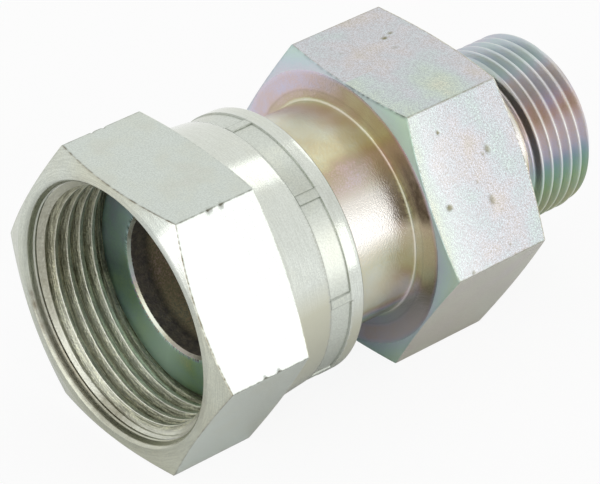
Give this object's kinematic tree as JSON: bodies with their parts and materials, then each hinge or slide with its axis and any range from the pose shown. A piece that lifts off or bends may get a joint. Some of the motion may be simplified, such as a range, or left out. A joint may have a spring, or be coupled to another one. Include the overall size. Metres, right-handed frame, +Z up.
{
  "type": "o-ring face seal fitting",
  "caption": "Straight steel hydraulic adapter: a crimped swivel nut over a flat-faced nose, a wrench hexagon and a pipe-thread stud with an elastomer seal.",
  "frame": {"origin": "on the fitting's axis, in the plane of the sealing face of the stud's collar", "axes": "+X along the axis, out of the stud's end; +Z up, square to the flats that both hexagons rest on"},
  "size_m": [0.0768, 0.0474, 0.041],
  "materials": {
    "passivated_steel": "turned steel, zinc plated and iridescent passivated",
    "zinc_plated_steel": "turned steel, bright zinc plated",
    "seal_rubber": "moulded nitrile rubber"
  },
  "bodies": {
    "adapter": {"adapter_body": "passivated_steel", "stud_seal_ring": "seal_rubber"},
    "nut": {"swivel_nut": "zinc_plated_steel"}
  },
  "joints": [
    {"name": "nut_swivel", "type": "hinge", "parent": "adapter", "child": "nut", "pos_m": [-0.035, 0, 0], "axis": [1, 0, 0], "continuous": true}
  ]
}
